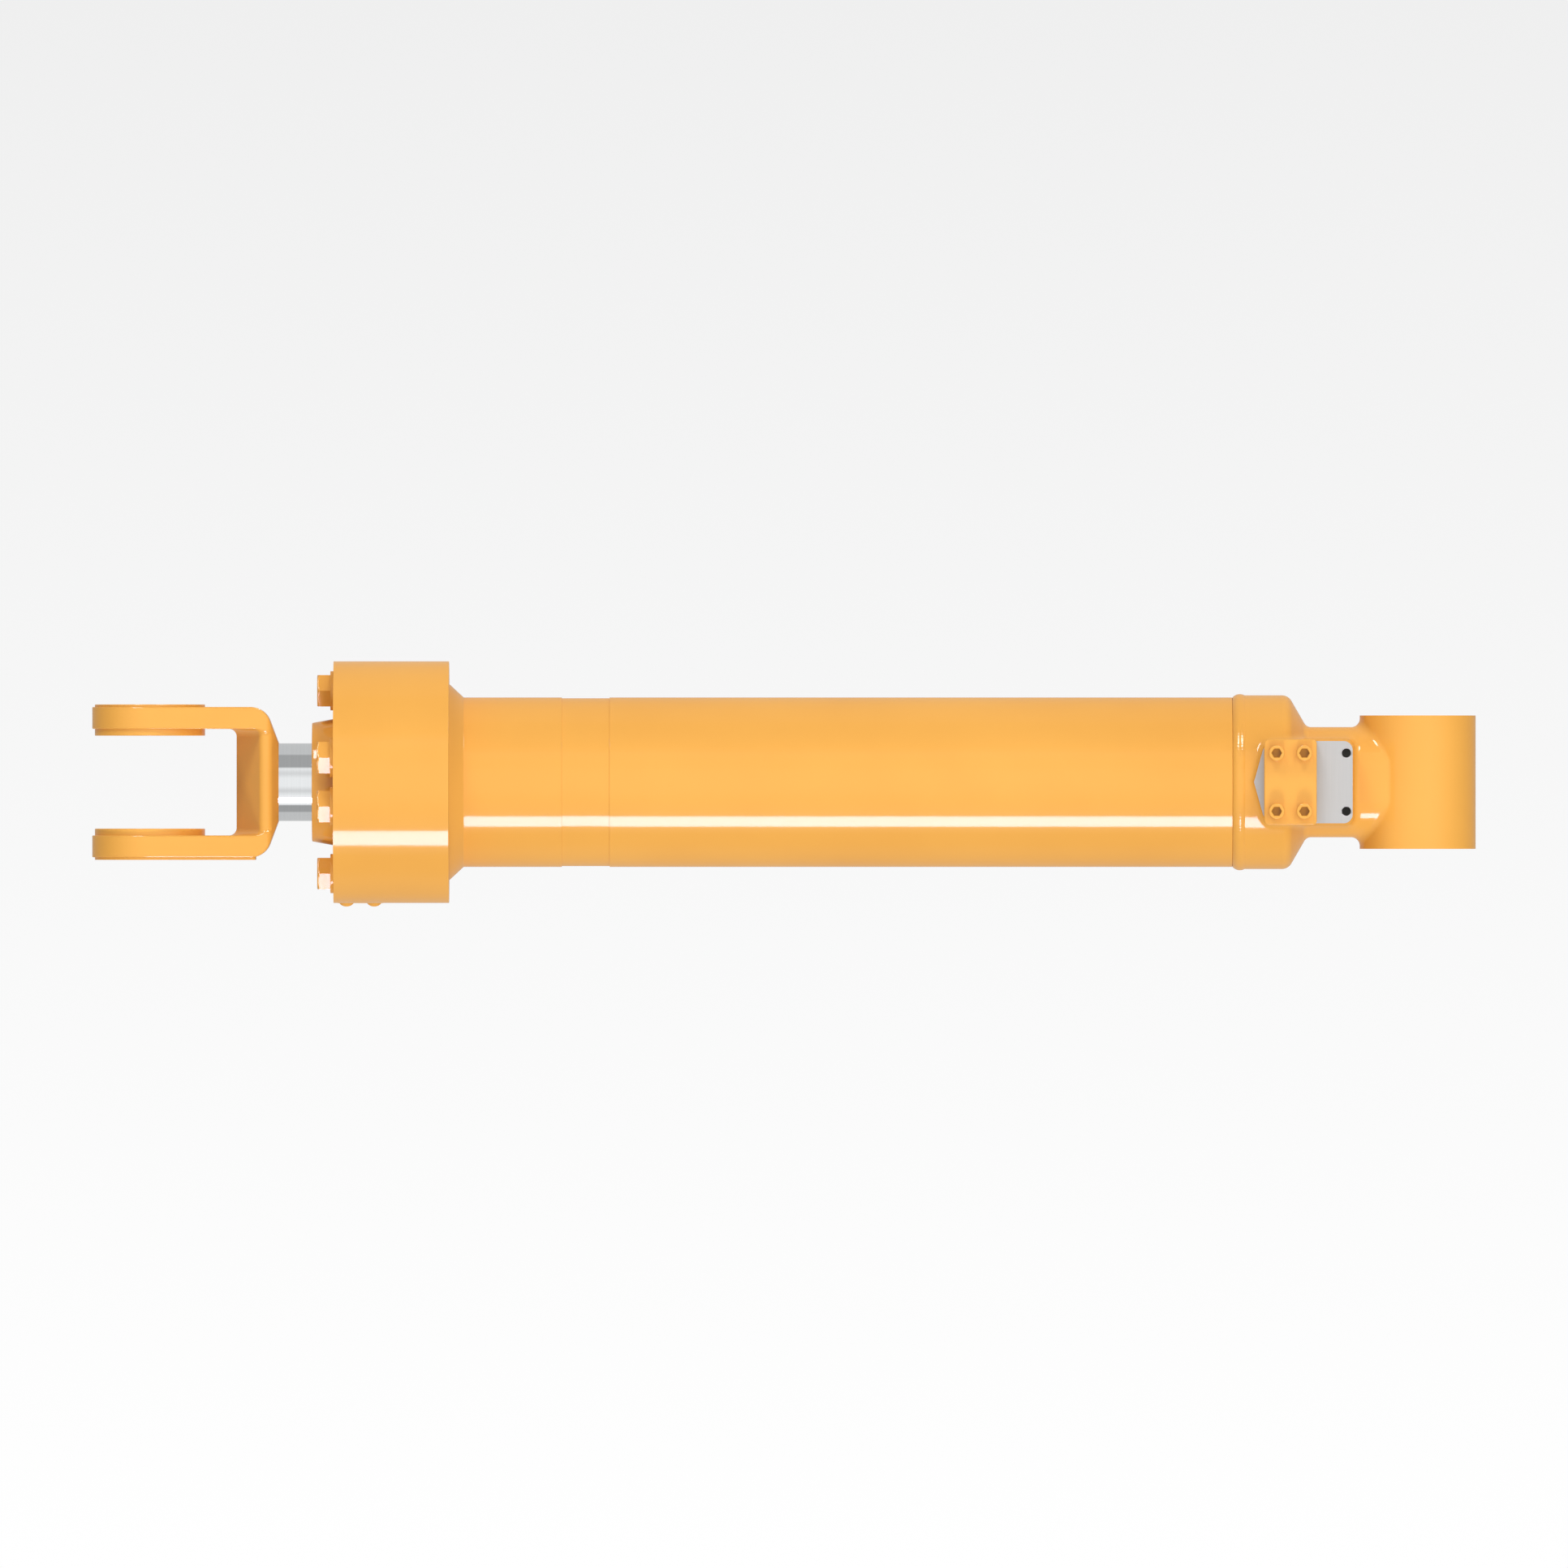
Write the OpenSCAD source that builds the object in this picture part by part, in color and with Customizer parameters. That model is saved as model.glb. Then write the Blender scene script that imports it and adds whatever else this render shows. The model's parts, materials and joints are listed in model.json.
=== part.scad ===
// Double-acting hydraulic cylinder with a rod clevis, a bolted head and a base eye.
// Lengths are in millimetres. Inside the modules, X runs from the base pin towards the rod clevis,
// Y points out of the base port and Z follows both pins. placed() then turns the part about Z,
// so that the rod clevis lies at -X and the base port faces -Y.

/* [Barrel] */
// Bore of the barrel
bore_d = 165; // [160:1:168]
// Outside diameter of the tube
tube_od = 194.4; // [190:0.2:200]
// Distance between the pins with the rod fully in
closed_length = 1454; // [1440:1:1480]
// Outside diameter of the bolted flange
flange_od = 277.2; // [274:0.2:284]

/* [Rod] */
// Diameter of the chromed rod
rod_d = 89; // [85:1:90]
// Travel of the rod
stroke = 780; // [400:10:780]

/* [Pins] */
// Bore for either pin
pin_d = 80; // [75:1:82]
// Outside diameter of the base eye
eye_od = 133; // [128:1:136]
// Width of the base eye along its pin
eye_width = 153; // [150:1:156]
// Clear gap between the clevis bosses
clevis_gap = 106.6; // [100:0.2:108]

/* [Ports] */
// Bolt spacing of a port along the barrel
port_pitch_short = 31.8; // [30:0.1:33]
// Bolt spacing of a port across the barrel
port_pitch_long = 66.7; // [64:0.1:68]
// Diameter of the oil passage
port_d = 32; // [25:1:33]

/* [Hidden] */
$fn = 96;
play = 0.05;                       // clearance of a running or sliding fit
bore_r = bore_d / 2;
tube_r = tube_od / 2;
flange_r = flange_od / 2;
rod_r = rod_d / 2;
pin_r = pin_d / 2;
eye_r = eye_od / 2;

// Stations along the barrel, as distances from the base pin
cap_face = 215;                    // inner face of the base cap, where the piston stops
base_joint = 205;                  // weld between cap and tube
front_joint = 954;                 // weld between tube and front flange
band_start = 926.8;                // shallow turned band over the front weld
band_end = 981.6;
cone_start = 1094.1;
flange_back = 1110.9;
parting = 1178;                    // joint face between front flange and gland
flange_front = 1243.4;
gland_tip = 1268;
gland_inner = 1092;                // inner end of the gland, where the piston stops
clevis_back = 1306.2;              // where the clevis is welded to the rod

// Base cap
cap_r = 99.7;
neck_half_height = 63.2;
neck_half_depth = 57.8;
neck_face_r = 80;                  // the neck's front and back are shallow arcs of this radius
taper_round = 13;                  // rounding where cap meets taper
taper_slope = 60;                  // angle of the taper to the axis
taper_corner = 148.5;              // where cap and taper would meet
recess_r = 58;                     // room for the piston nut
recess_end = 165;
port_face = 106;                   // height of the base port's face above the axis
base_port_x = 146.8;
pad_tip = 188.6;                   // the pad's pointed end
pad_shoulder = 177;
pad_end = 75.5;
pad_half = 47.1;
pad_round = 10.5;
tapped_x = 82.7;                   // the two free tapped holes on the pad
tapped_r = 5.1;
tapped_depth = 24;

// Base eye
bush_r = 47.5;
bush_half = 62.5;
lip_seal_height = 10;
lip_gap = 1.5;                      // between a lip seal and its pin

// Gland and its bolts
gland_bolt_circle = 108.5;
gland_bolt_angles = [for (quarter = [0:90:270], side = [-15, 15]) quarter + side];
bolt_r = 12;
bolt_head_flats = 36;
bolt_head_height = 15;
bolt_depth = 40;                   // thread engaged in the front flange
washer_r = 22.5;
washer_t = 3.5;
rod_port_x = 1213.2;
rod_port_flat = 130.3;             // distance of the port's flat from the axis
rod_port_turn = -135;              // the port looks down and away from the base port
duct_r = 8;                        // drilled passage from the rod port into the barrel
duct_axis = 65;

// Port covers and their screws
cover_length = 60.2;
cover_width = 98;
cover_t = 18;
cover_round = 5;
screw_r = 6;
screw_head_r = 9;
screw_head_height = 12;
screw_socket_flats = 10;
screw_depth = 20;
port_ring_r = 20.5;                // mean radius of the port's sealing ring
port_ring_w = 1.7;

// Piston
piston_r = bore_r - 0.5;
piston_back = cap_face + 1;
piston_front = 311;
stub_r = 32.5;
nut_end = 172;
nut_flats = 90;

// Clevis
clevis_x = closed_length;
ear_r = 66.2;
boss_r = 63.2;
boss_in = clevis_gap / 2;
ear_in = 61.1;
ear_out = 86.2;
boss_out = 89.1;
crotch_x = 1354.6;
crotch_nose = 7;                   // half width of the crotch's blunt nose
crotch_edge = 1326.4;              // where the crotch's slants reach the sides
pad_x = 1332.5;                    // end of the keeper pad on the lower ear
keeper_x = 1366;
keeper_r = 7;
clevis_round = 24;

YELLOW = [0.98, 0.68, 0.30];
STEEL = [0.62, 0.63, 0.64];
CHROME = [0.85, 0.87, 0.88];
IRON = [0.40, 0.40, 0.41];
RUBBER = [0.12, 0.12, 0.13];
RESIN = [0.35, 0.22, 0.14];

// ---- Helpers ----

// Turns the finished part into its own frame
module placed() rotate([0, 0, 180]) children();

// A solid of revolution about X, from points [radius, station]
module turned(profile) rotate([0, 90, 0]) rotate_extrude() polygon(profile);

// A ring about X of rectangular section
module ring(inner, outer, from, to)
    turned([[inner, from], [outer, from], [outer, to], [inner, to]]);

// A round bar along X
module bar(r, from, to) translate([from, 0, 0]) rotate([0, 90, 0]) cylinder(r = r, h = to - from);

// Points on an arc from angle a to angle b
function arc(centre, r, a, b, steps = 8) =
    [for (i = [0:steps]) centre + r * [cos(a + (b - a) * i / steps), sin(a + (b - a) * i / steps)]];

// Puts children, which stand on the XY plane, on a face that looks away from the axis.
// turn is the angle from Y towards Z. Their X stays along the barrel and their Z points outwards.
module on_side(turn, height, station)
    rotate([turn - 90, 0, 0]) translate([station, 0, height]) children();

module at_port_screws()
    for (x = [-1, 1], y = [-1, 1])
        translate([x * port_pitch_short / 2, y * port_pitch_long / 2, 0]) children();

module at_gland_bolts()
    for (angle = gland_bolt_angles)
        rotate([angle, 0, 0]) translate([0, gland_bolt_circle, 0]) rotate([-angle, 0, 0]) children();

// ---- Barrel ----

module barrel_tube() color(YELLOW)
    turned([
        [bore_r, base_joint + 1], [bore_r + 1.5, base_joint + 1], [tube_r, base_joint + 8],
        [tube_r, band_start], [tube_r - 0.9, band_start],
        [tube_r - 0.9, front_joint - 9], [bore_r + 1.5, front_joint - 1], [bore_r, front_joint - 1]
    ]);

module front_girth_weld() color(YELLOW)
    turned([
        [bore_r, front_joint - 1], [bore_r + 1.5, front_joint - 1], [tube_r - 0.9, front_joint - 9],
        [tube_r - 0.9, front_joint + 9], [bore_r + 1.5, front_joint + 1], [bore_r, front_joint + 1]
    ]);

module front_flange() color(YELLOW)
    difference() {
        turned([
            [bore_r, front_joint + 1], [bore_r + 1.5, front_joint + 1],
            [tube_r - 0.9, front_joint + 9], [tube_r - 0.9, band_end], [tube_r, band_end],
            [tube_r, cone_start], [tube_r + 15.6, flange_back], [flange_r, flange_back],
            [flange_r, parting], [bore_r + 2, parting], [bore_r, parting - 4]
        ]);
        at_gland_bolts() bar(bolt_r + play, parting - bolt_depth - 6, parting + 1);
    }

module base_girth_weld() color(YELLOW)
    turned(concat(
        [[bore_r, base_joint - 1], [bore_r, base_joint + 1], [bore_r + 1.5, base_joint + 1],
         [tube_r, base_joint + 8]],
        arc([94.6, base_joint], 6, 50, -50, 6),
        [[cap_r, base_joint - 7.4], [bore_r + 1.5, base_joint - 1]]
    ));

// ---- Base cap ----

// Half height of the cap at each station, from the neck to the weld
cap_outline = concat(
    [[0, 119.4], [50, 119.4]],
    arc([cap_r - taper_round, taper_corner + taper_round * tan(taper_slope / 2)],
        taper_round, taper_slope - 90, 0),
    [[cap_r, base_joint - 7.4], [bore_r + 1.5, base_joint - 1], [bore_r - play, base_joint - 1],
     [bore_r - play, cap_face], [0, cap_face]]
);

module neck_section() intersection() {
    square([2 * neck_half_height, 4 * neck_half_depth], center = true);
    translate([0, neck_half_depth - neck_face_r]) circle(neck_face_r);
    translate([0, neck_face_r - neck_half_depth]) circle(neck_face_r);
}

module pad_outline() polygon(concat(
    [[pad_tip, 0], [pad_shoulder, pad_half]],
    arc([pad_end + pad_round, pad_half - pad_round], pad_round, 90, 180),
    arc([pad_end + pad_round, pad_round - pad_half], pad_round, 180, 270),
    [[pad_shoulder, -pad_half]]
));

module base_cap() color(YELLOW)
    difference() {
        union() {
            cylinder(r = eye_r, h = eye_width, center = true);
            translate([10, 0, 0]) rotate([90, 0, 90]) linear_extrude(125) rotate(90) neck_section();
            turned(cap_outline);
            rotate([-90, 0, 0]) linear_extrude(port_face) pad_outline();
        }
        cylinder(r = bush_r, h = eye_width + 2, center = true);
        bar(recess_r, recess_end, cap_face + 1);
        bar(24, base_port_x - 18, recess_end + 1);
        on_side(0, 0, base_port_x) cylinder(r = port_d / 2, h = port_face + 1);
        on_side(0, port_face - screw_depth - 4, base_port_x)
            at_port_screws() cylinder(r = screw_r + play, h = screw_depth + 5);
        on_side(0, port_face - tapped_depth, tapped_x)
            for (y = [-1, 1]) translate([0, y * port_pitch_long / 2, 0])
                cylinder(r = tapped_r, h = tapped_depth + 1);
    }

module base_eye_bushing() color(STEEL)
    difference() {
        cylinder(r = bush_r, h = 2 * bush_half, center = true);
        cylinder(r = pin_r, h = 2 * bush_half + 2, center = true);
    }

// Lip seal beside the bushing, on the side that direction gives
module base_eye_seal(direction) color(RUBBER)
    mirror([0, 0, direction < 0 ? 1 : 0]) translate([0, 0, bush_half]) difference() {
        cylinder(r = bush_r, h = lip_seal_height);
        translate([0, 0, -1]) cylinder(r = pin_r + lip_gap, h = lip_seal_height + 2);
        translate([0, 0, lip_seal_height - 4]) difference() {
            cylinder(r = 45.5, h = 5);
            cylinder(r = 42.5, h = 5);
        }
    }

// ---- Gland ----

wiper = [1258, gland_tip, 52];          // start, end and outer radius of each seal's groove
rod_seal_groove = [1226, 1238, 53];
buffer_groove = [1204, 1212, 52];
wear_outer = [1172, 1192, 47.5];
wear_inner = [1128, 1153, 47.5];
gland_groove = [1148, 1158, 77.5];

module groove(g) bar(g[2], g[0], g[1]);

// A ring that fills a groove and runs on the rod
module rod_ring(g) ring(rod_r + play, g[2], g[0], g[1]);

module gland() color(YELLOW)
    difference() {
        turned([
            [rod_r + 0.5, gland_inner], [bore_r - 3, gland_inner], [bore_r - play, gland_inner + 5],
            [bore_r - play, gland_groove[0]], [gland_groove[2], gland_groove[0]],
            [gland_groove[2], gland_groove[1]], [bore_r - play, gland_groove[1]],
            [bore_r - play, parting], [flange_r, parting], [flange_r, flange_front],
            [72.5, flange_front], [67.9, gland_tip], [rod_r + 0.5, gland_tip]
        ]);
        groove([wiper[0], wiper[1] + 1, wiper[2]]);
        groove(rod_seal_groove);
        groove(buffer_groove);
        groove(wear_outer);
        groove(wear_inner);
        at_gland_bolts() bar(bolt_r + 1, parting - 1, flange_front + 1);
        on_side(rod_port_turn, rod_port_flat, (parting + flange_front) / 2)
            translate([-50, -60, 0]) cube([100, 120, 20]);
        on_side(rod_port_turn, duct_axis - 5, rod_port_x) cylinder(r = port_d / 2, h = 80);
        on_side(rod_port_turn, rod_port_flat - screw_depth - 4, rod_port_x)
            at_port_screws() cylinder(r = screw_r + play, h = screw_depth + 5);
        on_side(rod_port_turn, duct_axis, gland_inner - 1)
            rotate([0, 90, 0]) cylinder(r = duct_r, h = rod_port_x - gland_inner);
    }

module gland_o_ring() color(RUBBER)
    ring(gland_groove[2], bore_r - play, gland_groove[0], gland_groove[0] + 7);

module gland_backup_ring() color(RESIN)
    ring(gland_groove[2], bore_r - play, gland_groove[0] + 7, gland_groove[1]);

module rod_wiper() color(RUBBER)
    turned([
        [rod_r + play, wiper[0] + 4], [rod_r + 2, wiper[0]], [wiper[2], wiper[0]],
        [wiper[2], wiper[1]], [rod_r + 3, wiper[1]], [rod_r + play, wiper[1] - 1]
    ]);

module rod_seal() color(RUBBER) rod_ring(rod_seal_groove);

module rod_buffer_seal() color(RESIN) rod_ring(buffer_groove);

module rod_wear_ring_outer() color(RESIN) rod_ring(wear_outer);

module rod_wear_ring_inner() color(RESIN) rod_ring(wear_inner);

// Hexagonal prism along X whose corners point along Y
module hexagon_bar(flats, from, to)
    translate([from, 0, 0]) rotate([0, 90, 0]) rotate(90)
        cylinder(r = flats / 2 / cos(30), h = to - from, $fn = 6);

module gland_bolts() color(YELLOW)
    at_gland_bolts() {
        bar(bolt_r, parting - bolt_depth, flange_front + washer_t);
        hexagon_bar(bolt_head_flats, flange_front + washer_t,
            flange_front + washer_t + bolt_head_height);
    }

module gland_washers() color(YELLOW)
    at_gland_bolts() ring(bolt_r + 0.5, washer_r, flange_front, flange_front + washer_t);

// ---- Port covers ----

module cover_outline() {
    square([cover_length, cover_width - 2 * cover_round], center = true);
    square([cover_length - 2 * cover_round, cover_width], center = true);
    for (x = [-1, 1], y = [-1, 1])
        translate([x * (cover_length / 2 - cover_round), y * (cover_width / 2 - cover_round)])
            circle(cover_round);
}

module port_cover() difference() {
    linear_extrude(cover_t) cover_outline();
    translate([0, 0, -1]) at_port_screws() cylinder(r = screw_r + 0.75, h = cover_t + 2);
    translate([0, 0, -1]) difference() {
        cylinder(r = port_ring_r + port_ring_w, h = 3.8);
        cylinder(r = port_ring_r - port_ring_w, h = 3.8);
    }
}

module port_screw() difference() {
    union() {
        translate([0, 0, -screw_depth]) cylinder(r = screw_r, h = screw_depth + cover_t);
        translate([0, 0, cover_t]) cylinder(r = screw_head_r, h = screw_head_height);
    }
    translate([0, 0, cover_t + screw_head_height - 6])
        cylinder(r = screw_socket_flats / 2 / cos(30), h = 7, $fn = 6);
}

module port_o_ring() difference() {
    cylinder(r = port_ring_r + port_ring_w, h = 2.8);
    translate([0, 0, -1]) cylinder(r = port_ring_r - port_ring_w, h = 5);
}

module at_base_port() on_side(0, port_face, base_port_x) children();
module at_rod_port() on_side(rod_port_turn, rod_port_flat, rod_port_x) children();

module base_port_cover() color(YELLOW) at_base_port() port_cover();
module base_port_screws() color(YELLOW) at_base_port() at_port_screws() port_screw();
module base_port_o_ring() color(RUBBER) at_base_port() port_o_ring();
module rod_port_cover() color(YELLOW) at_rod_port() port_cover();
module rod_port_screws() color(YELLOW) at_rod_port() at_port_screws() port_screw();
module rod_port_o_ring() color(RUBBER) at_rod_port() port_o_ring();

// ---- Piston and rod ----

seal_groove = [257, 269, 74];           // start, end and inner radius of each ring's groove
rear_groove = [222, 247, 79];
front_groove = [280, 305, 79];
static_groove = [262, 266, 36];
energizer_r = 77.5;

// A ring that sits in a piston groove and runs on the bore
module bore_ring(g, inner) ring(inner + play, bore_r - play, g[0] + play, g[1] - play);

module piston() color(IRON)
    difference() {
        turned([
            [stub_r + play, piston_back], [piston_r - 2, piston_back], [piston_r, piston_back + 2],
            [piston_r, rear_groove[0]], [rear_groove[2], rear_groove[0]],
            [rear_groove[2], rear_groove[1]], [piston_r, rear_groove[1]],
            [piston_r, seal_groove[0]], [seal_groove[2], seal_groove[0]],
            [seal_groove[2], seal_groove[1]], [piston_r, seal_groove[1]],
            [piston_r, front_groove[0]], [front_groove[2], front_groove[0]],
            [front_groove[2], front_groove[1]], [piston_r, front_groove[1]],
            [piston_r, piston_front - 2], [piston_r - 2, piston_front],
            [stub_r + play, piston_front]
        ]);
        ring(stub_r, static_groove[2], static_groove[0], static_groove[1]);
    }

module piston_seal_ring() color(RESIN) bore_ring(seal_groove, energizer_r);

module piston_seal_energizer() color(RUBBER)
    ring(seal_groove[2] + play, energizer_r, seal_groove[0] + play, seal_groove[1] - play);

module piston_wear_ring_front() color(RESIN) bore_ring(front_groove, front_groove[2]);

module piston_wear_ring_rear() color(RESIN) bore_ring(rear_groove, rear_groove[2]);

module piston_static_o_ring() color(RUBBER)
    ring(stub_r, static_groove[2], static_groove[0], static_groove[1]);

module piston_rod() color(CHROME)
    turned([
        [0, nut_end - 3], [stub_r - 3, nut_end - 3], [stub_r, nut_end],
        [stub_r, piston_front], [rod_r, piston_front + 1], [rod_r, clevis_back], [0, clevis_back]
    ]);

module piston_nut() color(STEEL)
    difference() {
        hexagon_bar(nut_flats, nut_end, piston_back);
        bar(stub_r + play, nut_end - 1, piston_back + 1);
    }

// ---- Clevis ----

// Outline seen along the pin
module clevis_plan() {
    translate([clevis_x, 0]) circle(ear_r);
    polygon([
        [clevis_x, ear_r], [1320, ear_r], [1316, ear_r - 4], [clevis_back, rod_r],
        [clevis_back, -rod_r], [1316, 4 - ear_r], [1320, -ear_r], [clevis_x, -ear_r]
    ]);
}

// Outline seen from the side, without the gap
module clevis_side() polygon(concat(
    [[clevis_x + ear_r, -ear_out], [clevis_x + ear_r, ear_out]],
    arc([1338.5, ear_out - clevis_round], clevis_round, 90, 162, 6),
    [[clevis_back, rod_r], [clevis_back, -rod_r]],
    arc([1338.5, clevis_round - ear_out], clevis_round, 198, 270, 6)
));

// The gap between the ears, which ends in a blunt wedge
module clevis_mouth() polygon([
    [crotch_x, crotch_nose], [crotch_x, -crotch_nose], [crotch_edge, -71], [crotch_edge, -100],
    [clevis_x + 80, -100], [clevis_x + 80, 100], [crotch_edge, 100], [crotch_edge, 71]
]);

module rod_clevis() color(YELLOW)
    difference() {
        union() {
            difference() {
                intersection() {
                    translate([0, 0, -100]) linear_extrude(200) clevis_plan();
                    translate([0, 100, 0]) rotate([90, 0, 0]) linear_extrude(200) clevis_side();
                }
                translate([0, 0, -ear_in]) linear_extrude(2 * ear_in) clevis_mouth();
            }
            for (side = [0, 1]) mirror([0, 0, side])
                translate([clevis_x, 0, boss_in]) cylinder(r = boss_r, h = boss_out - boss_in);
            translate([pad_x, -boss_r, -boss_out])
                cube([clevis_x - pad_x, 2 * boss_r, boss_out - ear_out + 1]);
        }
        translate([clevis_x, 0, 0]) cylinder(r = pin_r, h = 2 * boss_out + 2, center = true);
        translate([keeper_x, 0, -boss_out - 1]) cylinder(r = keeper_r, h = boss_out - ear_in + 2);
    }

placed() barrel_tube();
placed() front_flange();
placed() front_girth_weld();
placed() base_cap();
placed() base_girth_weld();
placed() base_eye_bushing();
placed() base_eye_seal(1);  // base_eye_seal_upper
placed() base_eye_seal(-1);  // base_eye_seal_lower
placed() gland();
placed() gland_bolts();
placed() gland_washers();
placed() gland_o_ring();
placed() gland_backup_ring();
placed() rod_wiper();
placed() rod_seal();
placed() rod_buffer_seal();
placed() rod_wear_ring_outer();
placed() rod_wear_ring_inner();
placed() base_port_cover();
placed() base_port_screws();
placed() base_port_o_ring();
placed() rod_port_cover();
placed() rod_port_screws();
placed() rod_port_o_ring();
placed() piston_seal_ring();
placed() piston_seal_energizer();
placed() piston_wear_ring_front();
placed() piston_wear_ring_rear();
placed() piston_rod();
placed() piston();
placed() piston_nut();
placed() piston_static_o_ring();
placed() rod_clevis();
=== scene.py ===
"""Looks of a hydraulic cylinder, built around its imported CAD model.

Shapes are made in millimetres in the design's own frame: x runs from the base pin to the rod clevis,
y points out of the base port, z runs along both pins. to_row() turns them into the row's frame and metres.
Cast pieces are solids written as distance fields and meshed here; turned pieces are swept profiles.
"""

import json
import math

import bpy
import numpy as np
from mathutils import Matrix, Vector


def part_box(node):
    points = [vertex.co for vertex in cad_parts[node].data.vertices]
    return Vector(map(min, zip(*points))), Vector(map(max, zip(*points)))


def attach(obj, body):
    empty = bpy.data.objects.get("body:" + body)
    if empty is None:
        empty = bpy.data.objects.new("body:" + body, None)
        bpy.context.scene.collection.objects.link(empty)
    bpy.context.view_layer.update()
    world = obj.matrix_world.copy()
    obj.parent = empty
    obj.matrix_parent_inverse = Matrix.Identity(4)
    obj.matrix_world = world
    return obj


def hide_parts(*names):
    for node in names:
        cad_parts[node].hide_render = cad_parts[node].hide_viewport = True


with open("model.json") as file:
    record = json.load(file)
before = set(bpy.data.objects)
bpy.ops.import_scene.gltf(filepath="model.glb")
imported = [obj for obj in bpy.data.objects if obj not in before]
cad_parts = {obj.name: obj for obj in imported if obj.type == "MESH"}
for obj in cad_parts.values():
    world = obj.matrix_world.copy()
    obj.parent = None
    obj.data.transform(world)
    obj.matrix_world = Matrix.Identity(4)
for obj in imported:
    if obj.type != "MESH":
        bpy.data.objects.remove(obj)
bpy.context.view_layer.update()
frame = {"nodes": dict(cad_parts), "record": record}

MM = 0.001
FULL_TURN = 2 * math.pi


# ---- Places taken from the CAD model, in the design's frame ----

def span(node, axis):
    """Lowest and highest place of a CAD node along the design's axis x, y or z, in millimetres."""
    low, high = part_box(node)
    index = "xyz".index(axis)
    ends = [low[index] / MM, high[index] / MM]
    return ends if axis == "z" else [-ends[1], -ends[0]]


def half_size(node, axis):
    ends = span(node, axis)
    return (ends[1] - ends[0]) / 2


CLEVIS_PIN = -frame["record"]["mounts"][1]["pos_m"][0] / MM
PIN_R = frame["record"]["mounts"][0]["dims"]["r_mm"]
TUBE_R = half_size("barrel_tube", "z")
BAND_DEPTH = TUBE_R - half_size("front_girth_weld", "z")
BORE_R = half_size("piston_wear_ring_front", "z")
BUSH_R = half_size("base_eye_bushing", "y")
FLANGE_R = half_size("front_flange", "z")
ROD_R = half_size("piston_rod", "z")
JOINT_GAP = 1
BASE_JOINT = span("barrel_tube", "x")[0] - JOINT_GAP
FRONT_JOINT = span("barrel_tube", "x")[1] + JOINT_GAP
PARTING = span("front_flange", "x")[1]
GLAND_INNER, GLAND_TIP = span("gland", "x")
FLANGE_FRONT, WASHER_FRONT = span("gland_washers", "x")
HEAD_FRONT = span("gland_bolts", "x")[1]
CLEVIS_BACK = span("rod_clevis", "x")[0]
PAD_HEIGHT = span("base_port_cover", "y")[0]
COVER_T = 2 * half_size("base_port_cover", "y")
COVER_HALF_LENGTH = half_size("base_port_cover", "x")
COVER_HALF_WIDTH = half_size("base_port_cover", "z")
BASE_PORT_X = sum(span("base_port_cover", "x")) / 2
ROD_PORT_X = sum(span("rod_port_cover", "x")) / 2

PORT_PITCH_SHORT = 31.8
PORT_PITCH_LONG = 66.7
PORT_BORE_R = 16
SCREW_HOLE_R = 6.05
SCREW_HOLE_DEPTH = 24
BOLT_CIRCLE = 108.5
BOLT_SPREAD = 15
BOLT_ANGLES = [quarter + side for quarter in (0, 90, 180, 270) for side in (-BOLT_SPREAD, BOLT_SPREAD)]
ROD_PORT_TURN = -135
ROD_PORT_FLAT = 130.3


# ---- Meshing ----

def fillet(a, b, radius, lean=0.0):
    """Union of two fields with a rolling-ball fillet; lean is the cosine between their outward directions."""
    a_in, b_in = radius - a, radius - b
    between = (a_in > lean * b_in) & (b_in > lean * a_in)
    square = a_in ** 2 + b_in ** 2 - 2 * lean * a_in * b_in
    reach = np.sqrt(np.maximum(square, 0) / (1 - lean ** 2))
    return np.where(between, radius - reach, np.minimum(a, b))


def round_edge(a, b, radius, lean=0.0):
    """Intersection of two fields with a rounded edge."""
    return -fillet(-a, -b, radius, lean)


def largest(*fields):
    return np.maximum.reduce(np.broadcast_arrays(*fields))


def unit(vectors):
    return vectors / np.maximum(np.linalg.norm(vectors, axis=-1, keepdims=True), 1e-12)


def slope(field, points, reach=0.02):
    """Unit outward direction of a field."""
    rise = [field(points + step) - field(points - step) for step in np.eye(3) * reach]
    return unit(np.stack(rise, -1))


GRID_SHIFT = 1.37
HALVINGS = 12
STEADYING = 0.01


def crossings(field, nodes, inside, axis, step):
    """Where the surface crosses the grid's edges along one axis."""
    order = np.moveaxis(inside, axis, 0)
    cells = np.argwhere(np.moveaxis(order[:-1] != order[1:], 0, axis))
    low = np.stack([nodes[i][cells[:, i]] for i in range(3)], -1)
    high = low.copy()
    high[:, axis] += step
    low_inside = inside[tuple(cells.T)]
    for _ in range(HALVINGS):
        middle = (low + high) / 2
        with_low = ((field(middle) < 0) == low_inside)[:, None]
        low, high = np.where(with_low, middle, low), np.where(with_low, high, middle)
    return cells, (low + high) / 2, low_inside


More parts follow.
